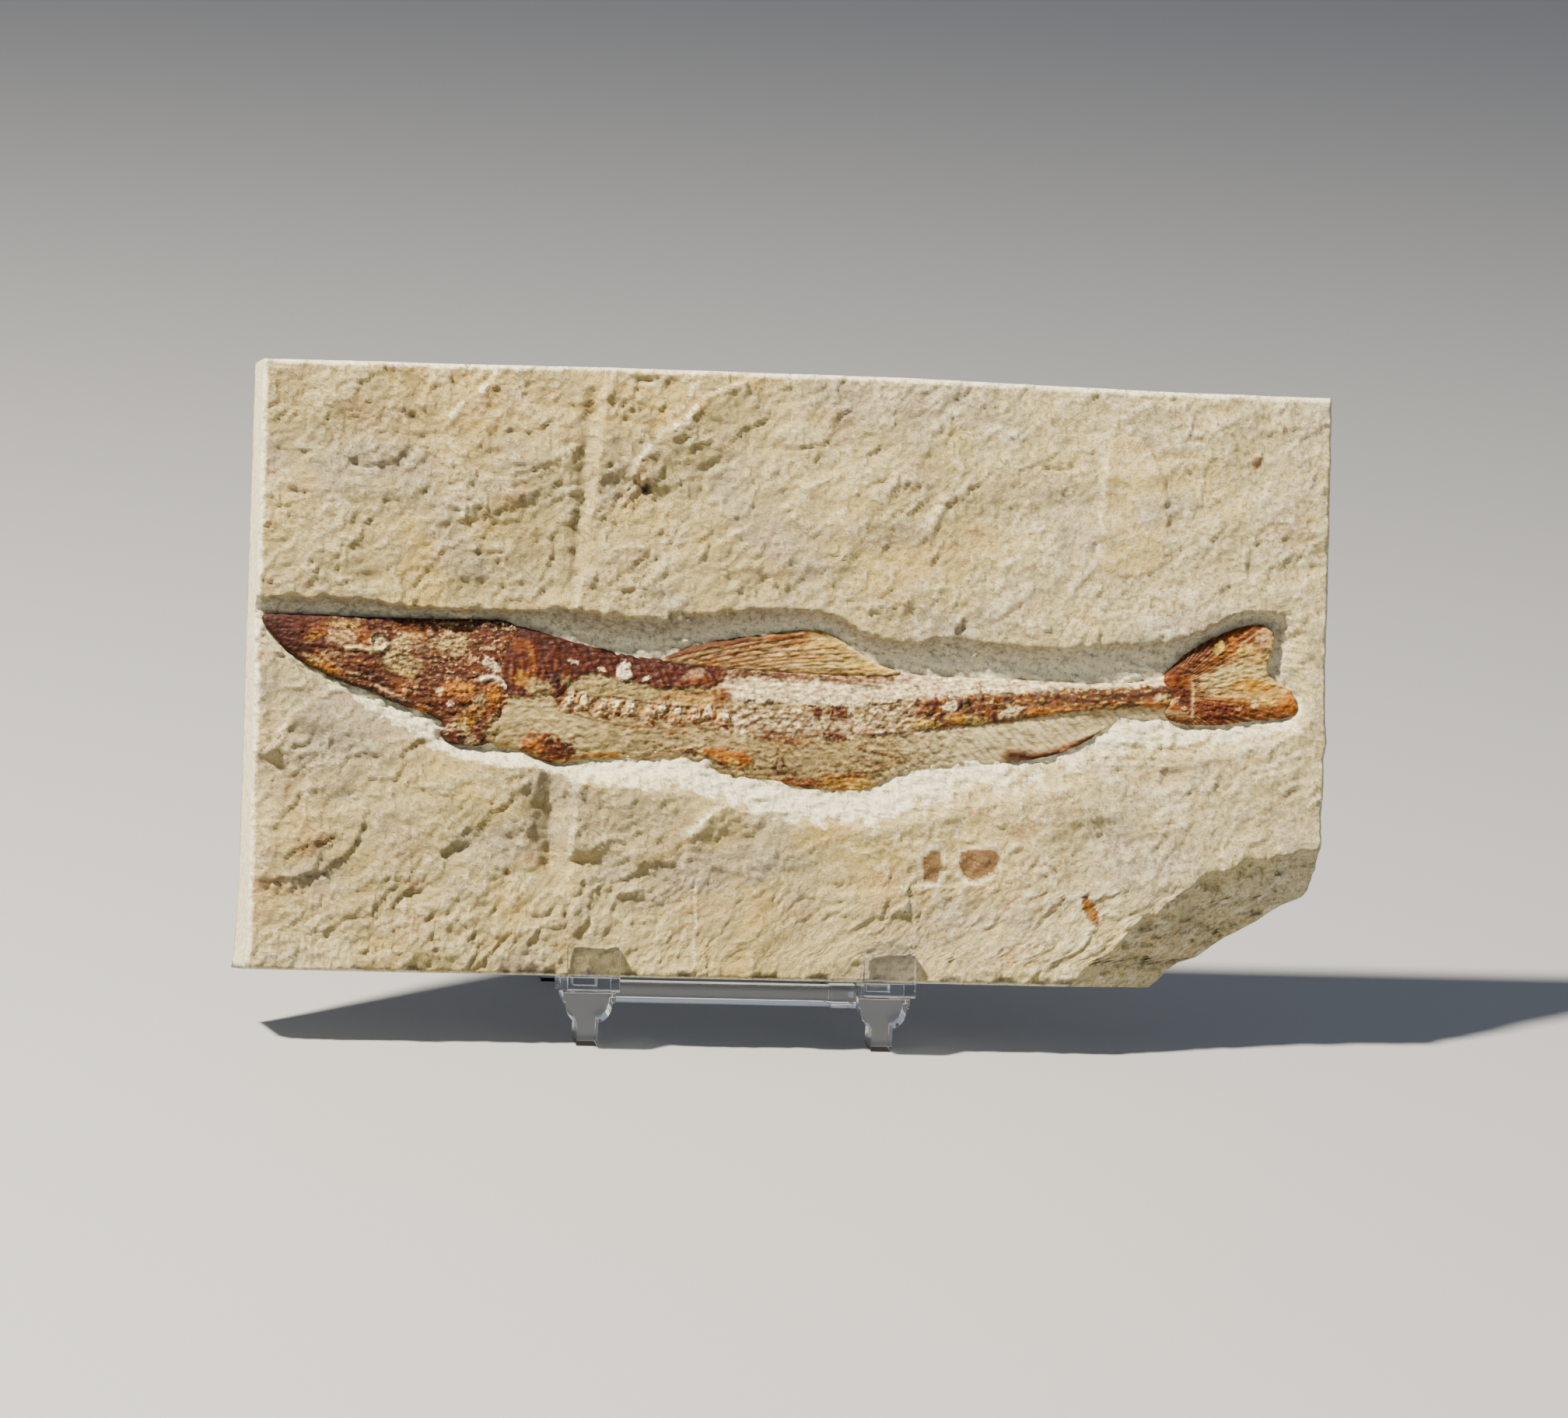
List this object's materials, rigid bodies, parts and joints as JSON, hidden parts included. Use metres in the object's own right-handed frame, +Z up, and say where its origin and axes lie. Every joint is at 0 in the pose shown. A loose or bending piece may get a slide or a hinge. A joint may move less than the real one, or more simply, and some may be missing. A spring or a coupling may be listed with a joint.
{
  "type": "fossil fish slab on a clear stand",
  "caption": "Pale limestone slab with a brown fossil fish in a prepared trench, leaning back on a small clear plastic easel stand.",
  "frame": {"origin": "middle of the footprint, on the surface the stand's feet rest on", "axes": "+Z up, +X along the slab from the fish's snout to its tail, and the fish faces -Y"},
  "size_m": [0.24, 0.0748, 0.1477],
  "materials": {
    "limestone": "matt, hackly split limestone",
    "fossil_bone": "brown and cream fossil bone and scale, slightly waxy",
    "clear_plastic": "clear, polished, injection moulded"
  },
  "bodies": {
    "root": {"limestone_slab": "limestone", "fossil_fish": "fossil_bone", "stand_left_arm": "clear_plastic", "stand_right_arm": "clear_plastic", "stand_front_bar": "clear_plastic", "stand_rear_bar": "clear_plastic"}
  },
  "joints": []
}
